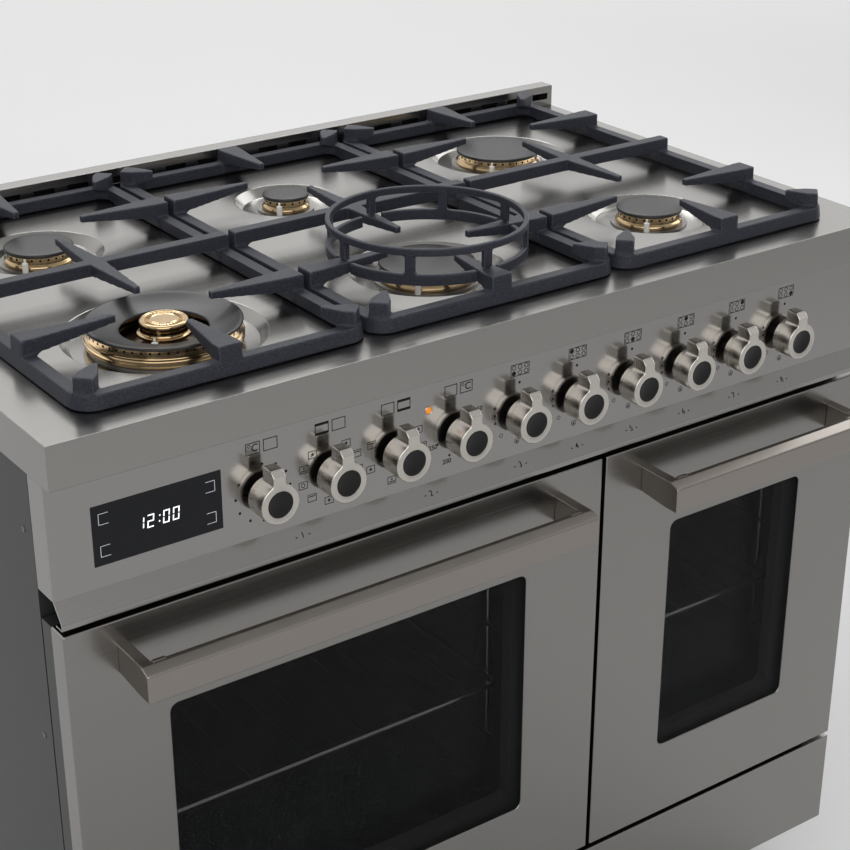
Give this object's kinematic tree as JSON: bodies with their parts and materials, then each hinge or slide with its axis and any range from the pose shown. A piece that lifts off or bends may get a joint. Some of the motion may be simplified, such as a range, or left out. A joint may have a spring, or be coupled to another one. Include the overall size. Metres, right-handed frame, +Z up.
{
  "type": "range cooker",
  "caption": "Free-standing steel range cooker with a gas hob, cast-iron pan supports, a row of pointer knobs, twin drop-down oven doors with bar handles and a storage drawer.",
  "frame": {"origin": "on the floor under the middle of the plan outline", "axes": "+X right as seen from the front, +Y towards the wall, +Z up"},
  "size_m": [1, 0.6554, 0.9563],
  "materials": {
    "steel": "satin",
    "handle_steel": "satin",
    "knob_nickel": "satin",
    "spindle_steel": "satin",
    "iron": "matt enamel",
    "brass": "turned",
    "black_enamel": "satin enamel",
    "cup_aluminium": "cast",
    "ceramic": "glazed",
    "dark_glass": "polished",
    "display": "polished",
    "amber": "clear",
    "black_plastic": "moulded",
    "dark_paint": "satin",
    "galvanised": "zinc",
    "oven_enamel": "gloss enamel",
    "seal_rubber": "matt",
    "wire_chrome": "bright",
    "element_steel": "dull",
    "lamp_glass": "frosted"
  },
  "bodies": {
    "carcass": {"side_panels": "dark_paint", "back_panel": "galvanised", "base_pan": "galvanised", "front_frame": "dark_paint", "levelling_feet": "steel", "rear_vent_trim": "steel", "terminal_box": "black_plastic", "hob_top": "steel", "burner_cups": "cup_aluminium", "burner_heads": "brass", "burner_caps": "black_enamel", "igniters": "ceramic", "control_panel": "steel", "display_glass": "display", "pilot_lamp": "amber", "oven_controls": "black_plastic", "gas_valves": "brass", "gas_rail": "galvanised", "hinge_brackets": "galvanised", "drawer_runners": "galvanised", "left_oven_liner": "oven_enamel", "right_oven_liner": "oven_enamel", "door_seals": "seal_rubber", "shelf_racks": "wire_chrome", "oven_elements": "element_steel", "fan_unit": "element_steel", "oven_lamps": "lamp_glass"},
    "knob_left_heat": {"knob_left_heat": "knob_nickel"},
    "knob_left_mode": {"knob_left_mode": "knob_nickel"},
    "knob_right_mode": {"knob_right_mode": "knob_nickel"},
    "knob_right_heat": {"knob_right_heat": "knob_nickel"},
    "knob_front_left": {"knob_front_left": "knob_nickel"},
    "spindle_front_left": {"spindle_front_left": "spindle_steel"},
    "knob_rear_left": {"knob_rear_left": "knob_nickel"},
    "spindle_rear_left": {"spindle_rear_left": "spindle_steel"},
    "knob_front_centre": {"knob_front_centre": "knob_nickel"},
    "spindle_front_centre": {"spindle_front_centre": "spindle_steel"},
    "knob_rear_centre": {"knob_rear_centre": "knob_nickel"},
    "spindle_rear_centre": {"spindle_rear_centre": "spindle_steel"},
    "knob_rear_right": {"knob_rear_right": "knob_nickel"},
    "spindle_rear_right": {"spindle_rear_right": "spindle_steel"},
    "knob_front_right": {"knob_front_right": "knob_nickel"},
    "spindle_front_right": {"spindle_front_right": "spindle_steel"},
    "pan_support_left": {"pan_support_left": "iron"},
    "pan_support_centre": {"pan_support_centre": "iron"},
    "pan_support_right": {"pan_support_right": "iron"},
    "wok_ring": {"wok_ring": "iron"},
    "left_door": {"left_door_skin": "steel", "left_door_panes": "dark_glass", "left_door_inner_frame": "dark_paint", "left_door_handle": "handle_steel"},
    "right_door": {"right_door_skin": "steel", "right_door_panes": "dark_glass", "right_door_inner_frame": "dark_paint", "right_door_handle": "handle_steel"},
    "drawer": {"drawer_front": "steel", "drawer_box": "galvanised"},
    "left_shelf": {"left_oven_shelf": "wire_chrome"},
    "right_shelf": {"right_oven_shelf": "wire_chrome"},
    "fan": {"oven_fan": "element_steel"}
  },
  "joints": [
    {"name": "left_heat_turn", "type": "hinge", "parent": "carcass", "child": "knob_left_heat", "pos_m": [-0.2895, -0.26475, 0.791], "axis": [0, 1, 0], "range_deg": [0, 270]},
    {"name": "left_mode_turn", "type": "hinge", "parent": "carcass", "child": "knob_left_mode", "pos_m": [-0.2165, -0.26475, 0.791], "axis": [0, 1, 0], "range_deg": [0, 315]},
    {"name": "right_mode_turn", "type": "hinge", "parent": "carcass", "child": "knob_right_mode", "pos_m": [-0.1435, -0.26475, 0.791], "axis": [0, 1, 0], "range_deg": [0, 315]},
    {"name": "right_heat_turn", "type": "hinge", "parent": "carcass", "child": "knob_right_heat", "pos_m": [-0.0705, -0.26475, 0.791], "axis": [0, 1, 0], "range_deg": [0, 270]},
    {"name": "front_left_push", "type": "slide", "parent": "carcass", "child": "spindle_front_left", "axis": [0, 1, 0], "range_m": [0, 0.004], "stiffness_N_per_m": 1500, "springref_m": -0.002},
    {"name": "front_left_turn", "type": "hinge", "parent": "spindle_front_left", "child": "knob_front_left", "pos_m": [0.0025, -0.26475, 0.791], "axis": [0, 1, 0], "range_deg": [-210, 0]},
    {"name": "rear_left_push", "type": "slide", "parent": "carcass", "child": "spindle_rear_left", "axis": [0, 1, 0], "range_m": [0, 0.004], "stiffness_N_per_m": 1500, "springref_m": -0.002},
    {"name": "rear_left_turn", "type": "hinge", "parent": "spindle_rear_left", "child": "knob_rear_left", "pos_m": [0.0755, -0.26475, 0.791], "axis": [0, 1, 0], "range_deg": [-210, 0]},
    {"name": "front_centre_push", "type": "slide", "parent": "carcass", "child": "spindle_front_centre", "axis": [0, 1, 0], "range_m": [0, 0.004], "stiffness_N_per_m": 1500, "springref_m": -0.002},
    {"name": "front_centre_turn", "type": "hinge", "parent": "spindle_front_centre", "child": "knob_front_centre", "pos_m": [0.1485, -0.26475, 0.791], "axis": [0, 1, 0], "range_deg": [-210, 0]},
    {"name": "rear_centre_push", "type": "slide", "parent": "carcass", "child": "spindle_rear_centre", "axis": [0, 1, 0], "range_m": [0, 0.004], "stiffness_N_per_m": 1500, "springref_m": -0.002},
    {"name": "rear_centre_turn", "type": "hinge", "parent": "spindle_rear_centre", "child": "knob_rear_centre", "pos_m": [0.2215, -0.26475, 0.791], "axis": [0, 1, 0], "range_deg": [-210, 0]},
    {"name": "rear_right_push", "type": "slide", "parent": "carcass", "child": "spindle_rear_right", "axis": [0, 1, 0], "range_m": [0, 0.004], "stiffness_N_per_m": 1500, "springref_m": -0.002},
    {"name": "rear_right_turn", "type": "hinge", "parent": "spindle_rear_right", "child": "knob_rear_right", "pos_m": [0.2945, -0.26475, 0.791], "axis": [0, 1, 0], "range_deg": [-210, 0]},
    {"name": "front_right_push", "type": "slide", "parent": "carcass", "child": "spindle_front_right", "axis": [0, 1, 0], "range_m": [0, 0.004], "stiffness_N_per_m": 1500, "springref_m": -0.002},
    {"name": "front_right_turn", "type": "hinge", "parent": "spindle_front_right", "child": "knob_front_right", "pos_m": [0.3675, -0.26475, 0.791], "axis": [0, 1, 0], "range_deg": [-210, 0]},
    {"name": "pan_support_left_lift", "type": "slide", "parent": "carcass", "child": "pan_support_left", "axis": [0, 0, 1], "range_m": [0, 0.06]},
    {"name": "pan_support_centre_lift", "type": "slide", "parent": "carcass", "child": "pan_support_centre", "axis": [0, 0, 1], "range_m": [0, 0.06]},
    {"name": "pan_support_right_lift", "type": "slide", "parent": "carcass", "child": "pan_support_right", "axis": [0, 0, 1], "range_m": [0, 0.06]},
    {"name": "wok_ring_lift", "type": "slide", "parent": "pan_support_centre", "child": "wok_ring", "axis": [0, 0, 1], "range_m": [0, 0.05]},
    {"name": "left_door_hinge", "type": "hinge", "parent": "carcass", "child": "left_door", "pos_m": [-0.19725, -0.26225, 0.2385], "axis": [1, 0, 0], "range_deg": [0, 88], "stiffness_Nm_per_rad": 8, "springref_deg": -11.46},
    {"name": "right_door_hinge", "type": "hinge", "parent": "carcass", "child": "right_door", "pos_m": [0.30525, -0.26225, 0.2385], "axis": [1, 0, 0], "range_deg": [0, 88], "stiffness_Nm_per_rad": 8, "springref_deg": -11.46},
    {"name": "drawer_slide", "type": "slide", "parent": "carcass", "child": "drawer", "axis": [0, -1, 0], "range_m": [0, 0.38]},
    {"name": "left_shelf_slide", "type": "slide", "parent": "carcass", "child": "left_shelf", "axis": [0, -1, 0], "range_m": [0, 0.012]},
    {"name": "right_shelf_slide", "type": "slide", "parent": "carcass", "child": "right_shelf", "axis": [0, -1, 0], "range_m": [0, 0.012]},
    {"name": "fan_spin", "type": "hinge", "parent": "carcass", "child": "fan", "pos_m": [-0.19725, 0.20525, 0.4655], "axis": [0, 1, 0], "continuous": true}
  ]
}
